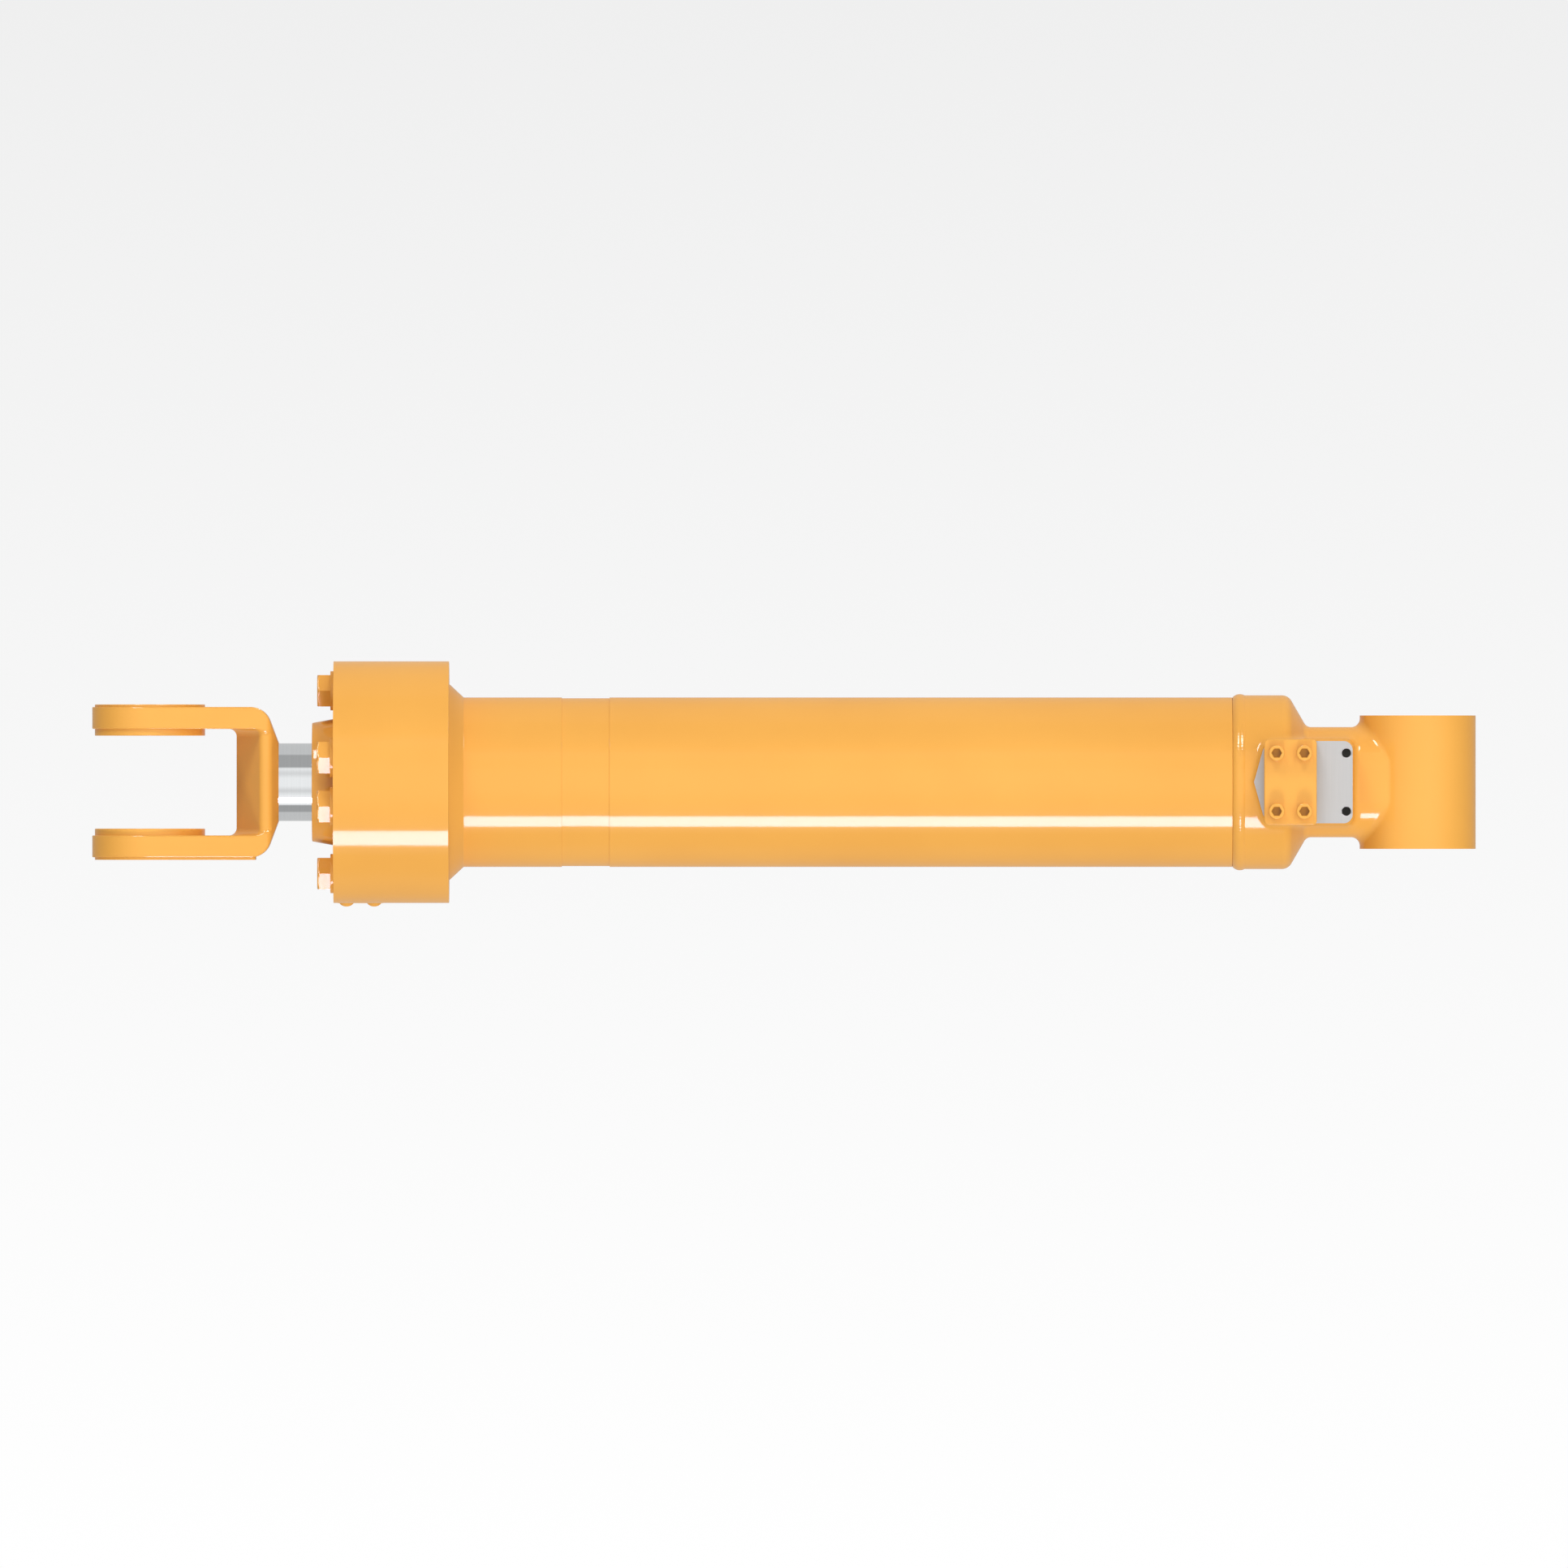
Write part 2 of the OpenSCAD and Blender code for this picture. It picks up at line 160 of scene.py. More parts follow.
def field_mesh(field, low, high, step):
    """Closed quad mesh of the solid where field is negative, with its sharp edges kept.

    Each grid cell that the surface passes through gets one vertex, placed where the surface's tangent
    planes in that cell meet; each grid edge that it crosses gets one face.
    """
    nodes = [np.arange(a - GRID_SHIFT * step, b + 2 * step, step) for a, b in zip(low, high)]
    shape = tuple(len(n) for n in nodes)
    inside = field(np.stack(np.meshgrid(*nodes, indexing="ij"), -1)) < 0
    rings, points, normals = [], [], []
    for axis in range(3):
        across, up = np.eye(3, dtype=int)[[(axis + 1) % 3, (axis + 2) % 3]]
        cells, where, outwards = crossings(field, nodes, inside, axis, step)
        ring = np.stack([cells - across - up, cells - up, cells, cells - across], 1)
        ring = np.where(outwards[:, None, None], ring, ring[:, ::-1])
        rings.append(np.ravel_multi_index(np.moveaxis(ring, -1, 0), shape))
        points.append(where)
        normals.append(slope(field, where))
    rings, points, normals = (np.concatenate(x) for x in (rings, points, normals))
    used, faces = np.unique(rings, return_inverse=True)
    faces = faces.reshape(-1, 4)
    member = faces.ravel()
    corner_points, corner_normals = np.repeat(points, 4, 0), np.repeat(normals, 4, 0)
    count = np.bincount(member)

    def total(values):
        return np.stack([np.bincount(member, v) for v in values.reshape(len(member), -1).T], -1)

    centre = total(corner_points) / count[:, None]
    planes = total(corner_normals[:, :, None] * corner_normals[:, None, :]).reshape(-1, 3, 3)
    offset = np.sum((corner_points - centre[member]) * corner_normals, 1, keepdims=True)
    pull = total(offset * corner_normals)
    planes += np.eye(3) * (STEADYING * count)[:, None, None]
    vertices = centre + np.linalg.solve(planes, pull[:, :, None])[:, :, 0]
    corner = np.stack([nodes[i][k] for i, k in enumerate(np.unravel_index(used, shape))], -1)
    return np.clip(vertices, corner, corner + step), faces


ARC_STEPS = 5


def rounded(outline):
    """An outline from corners (x, radius, rounding), with each rounding made an arc."""
    path = []
    for i, (x, r, rounding) in enumerate(outline):
        here = np.array([x, r], float)
        if not rounding:
            path.append(here)
            continue
        back = np.array(outline[i - 1][:2]) - here
        ahead = np.array(outline[(i + 1) % len(outline)][:2]) - here
        back, ahead = back / np.linalg.norm(back), ahead / np.linalg.norm(ahead)
        half = math.acos(np.clip(back @ ahead, -1, 1)) / 2
        middle = back + ahead
        centre = here + middle / np.linalg.norm(middle) * rounding / math.sin(half)
        first, last = (here + d * rounding / math.tan(half) - centre for d in (back, ahead))
        start = math.atan2(first[1], first[0])
        sweep = (math.atan2(last[1], last[0]) - start + math.pi) % FULL_TURN - math.pi
        for t in np.linspace(0, 1, ARC_STEPS + 1):
            angle = start + sweep * t
            path.append(centre + rounding * np.array([math.cos(angle), math.sin(angle)]))
    return np.array(path)


def turned(outline, segments=256, wobble=None):
    """Closed outline of corners (x, radius, rounding), swept round the x axis."""
    path = rounded(outline)
    angles = np.arange(segments) * FULL_TURN / segments
    x = np.repeat(path[:, :1], segments, 1)
    r = np.repeat(path[:, 1:], segments, 1)
    if wobble:
        r = r + wobble(x, angles[None, :])
    vertices = np.stack([x, r * np.cos(angles), r * np.sin(angles)], -1).reshape(-1, 3)
    row = np.arange(len(path))[:, None] * segments
    next_row = np.roll(row, -1, 0)
    column = np.arange(segments)[None, :]
    next_column = np.roll(column, -1, 1)
    faces = np.stack([row + column, row + next_column, next_row + next_column, next_row + column], -1)
    faces = faces.reshape(-1, 4)
    ahead = np.roll(path, -1, 0)
    area = np.sum(path[:, 0] * ahead[:, 1] - ahead[:, 0] * path[:, 1])
    return vertices, faces if area > 0 else faces[:, ::-1]


def copies(mesh, places):
    """Several copies of a mesh in one, each placed by a function from points to points."""
    vertices, faces = mesh
    moved = [place(vertices) for place in places]
    shifted = [faces + i * len(vertices) for i in range(len(moved))]
    return np.concatenate(moved), np.concatenate(shifted)


# ---- Placing ----

def turned_about_x(points, degrees):
    c, s = math.cos(math.radians(degrees)), math.sin(math.radians(degrees))
    return points @ np.array([[1, 0, 0], [0, c, s], [0, -s, c]])


def on_side(turn, height, station, at=(0, 0)):
    """Places what stands on the xy plane on a side face; turn is the angle from y towards z."""
    def place(points):
        return turned_about_x(points + [at[0], at[1], height], turn - 90) + [station, 0, 0]
    return place


def along_pin(points):
    """Stands what was turned about x on the pin's axis."""
    return points[:, [2, 1, 0]] * [-1, 1, 1]


def to_row(points):
    return points * [-MM, -MM, MM]


SWEPT_CREASE = 28


def add_piece(name, mesh, body, slot, finishes, stands_for, field=None, pick=None, crease=SWEPT_CREASE):
    """Makes a Blender object from a mesh in the design's frame.

    stands_for names the CAD nodes that it replaces. field gives exact normals on a meshed solid, and a
    swept mesh without one has its faces smoothed up to the crease angle. pick chooses a finish for each
    face from its centre.
    """
    vertices, faces = mesh
    data = bpy.data.meshes.new(name)
    data.from_pydata(to_row(vertices), [], faces.tolist())
    for finish in finishes:
        data.materials.append(finish)
    data.polygons.foreach_set("use_smooth", np.ones(len(faces), bool))
    centres = vertices[faces].mean(1)
    if pick:
        data.polygons.foreach_set("material_index", pick(centres).astype(np.int32))
    if field:
        normals = corner_normals(field, vertices, faces, centres)
    else:
        normals = swept_normals(vertices, faces, crease)
    data.normals_split_custom_set(to_row(normals) / MM)
    data.update()
    piece = bpy.data.objects.new(name, data)
    bpy.context.scene.collection.objects.link(piece)
    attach(piece, body)
    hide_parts(*stands_for)


def add_painted(name, mesh, stands_for, **choices):
    """A painted piece of the barrel's body."""
    finishes = choices.pop("finishes", [PAINT])
    add_piece(name, mesh, "barrel", "yellow_paint", finishes, stands_for, **choices)


def swept_normals(vertices, faces, crease):
    """A normal for each face corner of a swept mesh: the mean of the faces there, weighted by area.

    Faces that turn away by more than crease, in degrees, don't count. Each vertex has four faces.
    """
    corners = vertices[faces]
    area = np.cross(corners[:, 2] - corners[:, 0], corners[:, 3] - corners[:, 1])
    order = np.argsort(faces.ravel(), kind="stable").reshape(-1, 4)
    around = area[order // 4]
    facing = unit(around)
    near = np.einsum("vik,vjk->vij", facing, facing) > math.cos(math.radians(crease))
    mean = unit(np.einsum("vij,vjk->vik", near.astype(float), around))
    normals = np.empty((faces.size, 3))
    normals[order.ravel()] = mean.reshape(-1, 3)
    return normals


AGREEMENT = 0.97


def corner_normals(field, vertices, faces, centres):
    """A normal for each face corner: shared where the surface is smooth, split at sharp edges."""
    corners = vertices[faces]
    own = slope(field, corners + 0.3 * (centres[:, None] - corners)).reshape(-1, 3)
    member = faces.ravel()
    shared = unit(np.stack([np.bincount(member, own[:, i], len(vertices)) for i in range(3)], -1))
    match = np.sum(own * shared[member], 1)
    worst = np.ones(len(vertices))
    np.minimum.at(worst, member, match)
    return np.where((worst[member] > AGREEMENT)[:, None], shared[member], own)


# ---- Materials ----

class Finish:
    """A node material with one Principled shader and textures in object space.

    The values are set on the shader's sockets, with an underscore for each space in a socket's name.
    """

    def __init__(self, name, **values):
        self.material = bpy.data.materials.new(name)
        self.material.use_nodes = True
        self.tree = self.material.node_tree
        self.shader = self.tree.nodes["Principled BSDF"]
        for key, value in values.items():
            self.shader.inputs[key.replace("_", " ")].default_value = value
        self.place = self.tree.nodes.new("ShaderNodeTexCoord").outputs["Object"]

    def node(self, kind):
        return self.tree.nodes.new(kind)

    def link(self, output, target):
        self.tree.links.new(output, target)

    def noise(self, scale, detail, stretch=None):
        made = self.node("ShaderNodeTexNoise")
        made.inputs["Scale"].default_value = scale
        made.inputs["Detail"].default_value = detail
        place = self.place
        if stretch:
            mapping = self.node("ShaderNodeMapping")
            mapping.inputs["Scale"].default_value = stretch
            self.link(place, mapping.inputs["Vector"])
            place = mapping.outputs["Vector"]
        self.link(place, made.inputs["Vector"])
        return made.outputs["Fac"]

    def colour(self, value, dark, light, low=0.3):
        """Colours the surface from dark to light as the value rises from low to 1 - low."""
        made = self.node("ShaderNodeValToRGB")
        for element, position, shade in zip(made.color_ramp.elements, (low, 1 - low), (dark, light)):
            element.position = position
            element.color = (*shade, 1)
        self.link(value, made.inputs["Fac"])
        self.link(made.outputs["Color"], self.shader.inputs["Base Color"])

    def roughness(self, value, low, high):
        made = self.node("ShaderNodeMapRange")
        made.inputs["To Min"].default_value = low
        made.inputs["To Max"].default_value = high
        self.link(value, made.inputs["Value"])
        self.link(made.outputs["Result"], self.shader.inputs["Roughness"])

    def bump(self, value, height, strength, sockets=("Normal",)):
        made = self.node("ShaderNodeBump")
        made.inputs["Strength"].default_value = strength
        made.inputs["Distance"].default_value = height
        self.link(value, made.inputs["Height"])
        for socket in sockets:
            self.link(made.outputs["Normal"], self.shader.inputs[socket])


def paint(name, deep, light):
    """Glossy machine enamel: a slow change of tone, and the fine peel of sprayed paint."""
    made = Finish(name, Specular_IOR_Level=0.0, Coat_Weight=0.56, Coat_Roughness=0.10, Coat_IOR=1.6)
    made.colour(made.noise(5, 3), deep, light)
    made.roughness(made.noise(40, 3), 0.38, 0.46)
    made.bump(made.noise(420, 1), 0.00004, 0.12, ("Normal", "Coat Normal"))
    return made.material


def milled():
    """The port pad's milled face: pale grey steel with fine cutter lines."""
    made = Finish("milled_steel", Metallic=0.10, Roughness=0.46, Specular_IOR_Level=0.3)
    lines = made.noise(900, 2, stretch=(1, 1, 0.02))
    made.colour(lines, (0.450, 0.446, 0.442), (0.465, 0.461, 0.457))
    made.roughness(lines, 0.40, 0.48)
    made.bump(lines, 0.00001, 0.2)
    return made.material


def dark_thread():
    made = Finish("tapped_hole", Metallic=0.4, Roughness=0.55)
    made.colour(made.noise(300, 2), (0.20, 0.19, 0.18), (0.30, 0.29, 0.27))
    return made.material


def chrome():
    """Ground and polished hard chrome, with faint rings from grinding."""
    made = Finish("hard_chrome", Metallic=1.0, Roughness=0.05)
    rings = made.noise(1200, 2, stretch=(1, 0.01, 0.01))
    made.colour(rings, (0.86, 0.88, 0.89), (0.89, 0.91, 0.92))
    made.roughness(rings, 0.045, 0.06)
    return made.material


def turned_metal(name, dark, light, along):
    """Bare metal with the fine lines that a lathe leaves; along stretches them."""
    made = Finish(name, Metallic=1.0, Roughness=0.32)
    lines = made.noise(1500, 2, stretch=along)
    made.colour(lines, dark, light)
    made.roughness(lines, 0.26, 0.40)
    made.bump(lines, 0.00001, 0.4)
    return made.material


def rubber():
    made = Finish("seal_rubber", Roughness=0.5)
    made.colour(made.noise(90, 3), (0.010, 0.010, 0.011), (0.022, 0.022, 0.024))
    made.roughness(made.noise(250, 2), 0.42, 0.6)
    made.bump(made.noise(1800, 1), 0.00002, 0.4)
    return made.material


def resin():
    """Cloth-filled bearing resin."""
    made = Finish("bearing_resin", Roughness=0.45)
    weave = made.noise(700, 3)
    made.colour(weave, (0.10, 0.045, 0.02), (0.16, 0.075, 0.035), 0.35)
    made.bump(weave, 0.00003, 0.4)
    return made.material


PAINT = paint("yellow_enamel", (0.745, 0.352, 0.064), (0.785, 0.382, 0.072))
# Darker enamel for the insides of the hexagon sockets: painted shade of the recesses.
SOCKET_SHADE_PAINT = paint("socket_shade_enamel", (0.48, 0.21, 0.018), (0.54, 0.24, 0.022))
MILLED = milled()
THREAD = dark_thread()
CHROME = chrome()
STEEL = turned_metal("turned_steel", (0.42, 0.42, 0.43), (0.56, 0.56, 0.57), (0.02, 0.02, 1))
IRON = turned_metal("turned_iron", (0.20, 0.20, 0.20), (0.30, 0.30, 0.30), (1, 0.02, 0.02))
RUBBER = rubber()
RESIN = resin()


# ---- Fields shared by several pieces ----

def parts(points):
    return points[..., 0], points[..., 1], points[..., 2]


def hexagon(a, b, flats):
    """Hexagon whose corners lie on the first axis."""
    leant = a * math.cos(math.pi / 6)
    return largest(np.abs(b), np.abs(leant + b / 2), np.abs(leant - b / 2)) - flats / 2


def port_screw_holes(x, z, radius):
    """Distance from the four screws of a port centred on the origin."""
    return np.hypot(np.abs(x) - PORT_PITCH_SHORT / 2, np.abs(z) - PORT_PITCH_LONG / 2) - radius


# ---- Base cap: cap, neck, eye and port block in one casting ----

CAP_R = 99.7
CAP_END = BASE_JOINT - 1
CAP_CORNER = 148.5
CAP_ROUND = 13
TAPER = math.radians(60)
NECK_HALF_HEIGHT = 63.2
NECK_HALF_DEPTH = 57.8
NECK_ROUND = 46
EYE_R = 66.5
EYE_HALF = 76.5
EYE_CHAMFER = 2
PAD_TIP = 188.6
PAD_SLANT = math.radians(74.4)
PAD_END = 75.5
PAD_HALF = 47.1
PAD_CORNER = 10.5
PROW_CORNER = 16
DRAFT = math.tan(math.radians(3))
CAST_FILLET = 9
EYE_FILLET = 10
MOST_LEAN = 0.95
BLOCK_LEAN = 0.25
TAPPED_X = 82.7
TAPPED_R = 5.1
TAPPED_DEPTH = 24
TAPPED_CHAMFER = 0.6
SPIGOT_START = 190
SPIGOT_END = 215
NUT_ROOM_R = 58
NUT_ROOM_START = 165
OIL_WAY_R = 24
OIL_WAY_START = 128


def neck_and_eye(x, y, z, radius, height):
    """The eye, and the neck that carries it from the tapered cap."""
    taper = -math.sin(TAPER) * (x - CAP_CORNER) + math.cos(TAPER) * (radius - CAP_R)
    cap = largest(round_edge(radius - CAP_R, taper, CAP_ROUND, math.cos(TAPER)), x - CAP_END)
    front, top = np.abs(y) - NECK_HALF_DEPTH, height - NECK_HALF_HEIGHT
    neck = largest(round_edge(front, top, NECK_ROUND), -x, x - CAP_CORNER)
    from_pin = np.hypot(x, y)
    to_front, to_top = np.maximum(front + NECK_ROUND, 0), np.maximum(top + NECK_ROUND, 1)
    lean = to_front / np.hypot(to_front, to_top) * np.abs(y) / np.maximum(from_pin, 1)
    eye = largest(from_pin - EYE_R, height - EYE_HALF)
    body = fillet(cap, neck, CAST_FILLET, math.cos(TAPER))
    return fillet(body, eye, EYE_FILLET, np.clip(lean, 0, MOST_LEAN))


def port_block(x, y, height):
    """Block that carries the port: drafted walls, and a prow that points along the barrel."""
    grow = DRAFT * (PAD_HEIGHT - y)
    prow = math.sin(PAD_SLANT) * (x - PAD_TIP) + math.cos(PAD_SLANT) * height - grow
    block = round_edge(height - PAD_HALF - grow, PAD_END - x - grow, PAD_CORNER)
    return largest(round_edge(block, prow, PROW_CORNER, math.cos(PAD_SLANT)), -y)


def base_cap(points):
    x, y, z = parts(points)
    radius = np.hypot(y, z)
    height = np.abs(z)
    body = neck_and_eye(x, y, z, radius, height)
    body = fillet(body, port_block(x, y, height), CAST_FILLET, BLOCK_LEAN)
    body = largest(body, y - PAD_HEIGHT)
    spigot = largest(radius - BORE_R, SPIGOT_START - x, x - SPIGOT_END)
    body = np.minimum(body, spigot)
    nut_room = largest(radius - NUT_ROOM_R, NUT_ROOM_START - x)
    oil_way = largest(radius - OIL_WAY_R, OIL_WAY_START - x)
    port = largest(np.hypot(x - BASE_PORT_X, z) - PORT_BORE_R, -y)
    screws = largest(port_screw_holes(x - BASE_PORT_X, z, SCREW_HOLE_R), PAD_HEIGHT - SCREW_HOLE_DEPTH - y)
    bore = np.hypot(x, y) - BUSH_R - np.maximum(height - EYE_HALF + EYE_CHAMFER, 0)
    sink = np.maximum(y - PAD_HEIGHT + TAPPED_CHAMFER, 0)
    tapped = np.hypot(x - TAPPED_X, height - PORT_PITCH_LONG / 2) - TAPPED_R - sink
    tapped = largest(tapped, PAD_HEIGHT - TAPPED_DEPTH - y)
    return largest(body, -nut_room, -oil_way, -port, -screws, -bore, -tapped)


PAD_SKIN = 0.05
HOLE_SKIN = 0.3
RIM_WIDTH = 2
RIM_DEPTH = 1.5


def base_cap_finish(centres):
    """0 for paint, 1 for the milled pad, 2 inside the tapped holes."""
    x, y, z = parts(centres)
    off = np.hypot(x - TAPPED_X, np.abs(z) - PORT_PITCH_LONG / 2) - TAPPED_R
    flat = y > PAD_HEIGHT - PAD_SKIN
    rim = (off < RIM_WIDTH) & (y > PAD_HEIGHT - RIM_DEPTH)
    in_hole = (off < HOLE_SKIN) & (y > PAD_HEIGHT - TAPPED_DEPTH - 1) & ~flat
    return np.where(in_hole, 2, np.where(flat | rim, 1, 0))


BUSH_HALF = 62.5
SEAL_END = 72
PIN_SEGMENTS = 192


def make_base_end():
    low, high = (-EYE_R, -CAP_R, -CAP_R), (SPIGOT_END, PAD_HEIGHT, CAP_R)
    mesh = field_mesh(base_cap, low, high, CAST_STEP)
    finishes = [PAINT, MILLED, THREAD]
    add_painted("base_cap_casting", mesh, ["base_cap"], finishes=finishes,
                field=base_cap, pick=base_cap_finish)
    make_base_weld()
    make_bushing()
    for side, name in ((1, "upper"), (-1, "lower")):
        make_lip_seal(side, name)


def make_bushing():
    outline = [
        (-BUSH_HALF, PIN_R, 1.5), (-BUSH_HALF, BUSH_R, 1), (BUSH_HALF, BUSH_R, 1), (BUSH_HALF, PIN_R, 1.5),
    ]
    vertices, faces = turned(outline, PIN_SEGMENTS)
    sleeve = along_pin(vertices), faces
    add_piece("base_eye_bushing_sleeve", sleeve, "barrel", "bearing_steel", [STEEL], ["base_eye_bushing"])


def make_lip_seal(side, name):
    """Steel-cased lip seal beside the bushing: a flat case and a lip that leans out to the pin."""
    case_r = BUSH_R - 0.05
    outline = [
        (BUSH_HALF, case_r, 0), (SEAL_END, case_r, 0.5), (SEAL_END, 45.3, 0.4),
        (68.5, 44.9, 0.5), (68.5, 43.6, 0.5), (72.4, 42.4, 0.5), (72.4, 41.6, 0.3),
        (67, PIN_R + 1.5, 0.4), (65, 43, 0.5), (BUSH_HALF, 43, 0),
    ]
    vertices, faces = turned(outline, PIN_SEGMENTS)
    seal = along_pin(vertices) * [1, side, side], faces
    add_piece(f"lip_seal_{name}", seal, "barrel", "seal_rubber", [RUBBER], [f"base_eye_seal_{name}"])


BEAD_PEAK = BASE_JOINT - 1
BEAD_START = BASE_JOINT + 7.5
BEAD_END = BASE_JOINT - 7
BEAD_TOP_R = 101
BEAD_ROUND = 11.4
BEAD_CREASE = 40
BEAD_SEGMENTS = 680
BEAD_POINTS = 24
RIPPLES = 170
RIPPLE_HEIGHT = 0.05
RIPPLE_REACH = 6
WELD_ROOT_R = BORE_R + 1.5


def make_base_weld():
    """A single convex pass of weld, with faint ripples."""
    def ripple(x, angle):
        near_peak = np.abs(x - BEAD_PEAK) < RIPPLE_REACH
        return RIPPLE_HEIGHT * np.sin(angle * RIPPLES + np.sin(x * 0.5)) * near_peak

    centre_r = BEAD_TOP_R - BEAD_ROUND
    outline = [(BEAD_END, CAP_R - 2, 0)]
    for x in np.linspace(BEAD_END, BEAD_START, BEAD_POINTS):
        outline.append((x, centre_r + math.sqrt(BEAD_ROUND ** 2 - (x - BEAD_PEAK) ** 2), 0))
    outline.append((BEAD_START, TUBE_R - 1, 0))
    outline += [(BASE_JOINT + JOINT_GAP, WELD_ROOT_R, 0), (BASE_JOINT - JOINT_GAP, WELD_ROOT_R, 0)]
    mesh = turned(outline, BEAD_SEGMENTS, ripple)
    add_painted("base_weld_bead", mesh, ["base_girth_weld"], crease=BEAD_CREASE)


# ---- Barrel ----

BAND_START = 926.8
BAND_END = 981.6
CONE_START = 1094.1
FLANGE_BACK = 1110.9
CONE_RISE = 15.6


BAND_R = TUBE_R - BAND_DEPTH
WELD_HALF = 9
RING_ROOM = 0.1


def make_barrel():
    start, before, after = BASE_JOINT + JOINT_GAP, FRONT_JOINT - JOINT_GAP, FRONT_JOINT + JOINT_GAP
    tube = [
        (start, BORE_R, 0), (start, WELD_ROOT_R, 0), (BASE_JOINT + 8, TUBE_R, 0),
        (BAND_START, TUBE_R, 0.25), (BAND_START, BAND_R, 0.25), (FRONT_JOINT - WELD_HALF, BAND_R, 0),
        (before, WELD_ROOT_R, 0), (before, BORE_R, 0),
    ]
    add_painted("barrel_tube_shell", turned(tube), ["barrel_tube"])
    weld = [
        (before, BORE_R, 0), (before, WELD_ROOT_R, 0), (FRONT_JOINT - WELD_HALF, BAND_R, 0),
        (FRONT_JOINT + WELD_HALF, BAND_R, 0), (after, WELD_ROOT_R, 0), (after, BORE_R, 0),
    ]
    add_painted("front_weld_band", turned(weld), ["front_girth_weld"])
    bore_r = BORE_R + RING_ROOM
    flange = [
        (after, bore_r, 0), (after, WELD_ROOT_R, 0), (FRONT_JOINT + WELD_HALF, BAND_R, 0),
        (BAND_END, BAND_R, 0.25), (BAND_END, TUBE_R, 0.25), (CONE_START, TUBE_R, 1.5),
        (FLANGE_BACK, TUBE_R + CONE_RISE, 0.5), (FLANGE_BACK, FLANGE_R, 0.6), (PARTING, FLANGE_R, 0),
        (PARTING, BORE_R + 2, 0), (PARTING - 4, bore_r, 0),
    ]
    add_painted("front_flange_forging", turned(flange), ["front_flange"])


# ---- Gland, its bolts and washers ----

BOSS_BASE_R = 72.5
BOSS_TIP_R = 67.9
PORT_BORE_END = 60
ROD_CLEARANCE = 0.5
WIPER_SEAT_R = 52
WIPER_SEAT_START = 1258
BOLT_R = 12
BOLT_HOLE_R = 13
BOLT_HOLE_OVERRUN = 5
BOLT_REACH = 40
BOLT_FLATS = 36
BOLT_STEP = 1.1
WASHER_BORE_R = BOLT_R + 0.5
WASHER_R = half_size("gland_washers", "z") - BOLT_CIRCLE * math.cos(math.radians(BOLT_SPREAD))
WASHER_EDGE = 0.5


def side_axes(y, z, turn):
    """Height above the axis along a turned direction, and the distance across it."""
    c, s = math.cos(math.radians(turn)), math.sin(math.radians(turn))
    return y * c + z * s, z * c - y * s


def bolt_centres():
    angles = np.radians(BOLT_ANGLES)
    return [(BOLT_CIRCLE * math.cos(a), BOLT_CIRCLE * math.sin(a)) for a in angles]


def gland(points):
    x, y, z = parts(points)
    radius = np.hypot(y, z)
    flange = largest(radius - FLANGE_R, PARTING - x, x - FLANGE_FRONT)
    lean = (BOSS_BASE_R - BOSS_TIP_R) / (GLAND_TIP - FLANGE_FRONT)
    cone = (radius - BOSS_BASE_R + lean * (x - FLANGE_FRONT)) / math.hypot(1, lean)
    boss = largest(round_edge(cone, x - GLAND_TIP, 1), PARTING - x)
    spigot = largest(radius - BORE_R, GLAND_INNER - x, x - PARTING - 2)
    body = np.minimum(np.minimum(flange, boss), spigot)
    out, along = side_axes(y, z, ROD_PORT_TURN)
    flat = out - ROD_PORT_FLAT
    port = largest(np.hypot(x - ROD_PORT_X, along) - PORT_BORE_R, PORT_BORE_END - out)
    screws = port_screw_holes(x - ROD_PORT_X, along, SCREW_HOLE_R)
    screws = largest(screws, ROD_PORT_FLAT - SCREW_HOLE_DEPTH - out)
    bolts = [np.hypot(y - by, z - bz) - BOLT_HOLE_R for by, bz in bolt_centres()]
    bolts = largest(np.minimum.reduce(bolts), PARTING - BOLT_HOLE_OVERRUN - x)
    rod_way = radius - ROD_R - ROD_CLEARANCE
    wiper = largest(radius - WIPER_SEAT_R, WIPER_SEAT_START - x)
    return largest(body, flat, -port, -screws, -bolts, -rod_way, -wiper)


def hex_bolt(points):
    """Hexagon bolt along x with its head's top chamfered at 30 degrees."""
    x, y, z = parts(points)
    radius = np.hypot(y, z)
    chamfer = (x - HEAD_FRONT) * math.cos(math.radians(30)) + (radius - BOLT_FLATS / 2 + 0.6) * 0.5
    head = round_edge(hexagon(y, z, BOLT_FLATS), chamfer, 0.5)
    head = largest(round_edge(head, x - HEAD_FRONT, 0.4), WASHER_FRONT - x)
    shank = largest(radius - BOLT_R, PARTING - BOLT_REACH - x, x - WASHER_FRONT - 1)
    return np.minimum(head, shank)


def all_bolts(points):
    """The eight bolts' field: one bolt's, moved to the nearest place on the bolt circle."""
    centres = bolt_centres()
    y, z = points[..., 1], points[..., 2]
    gaps = np.stack([np.hypot(y - by, z - bz) for by, bz in centres])
    nearest = np.array(centres)[np.argmin(gaps, 0)]
    return hex_bolt(points - np.concatenate([np.zeros_like(y)[..., None], nearest], -1))


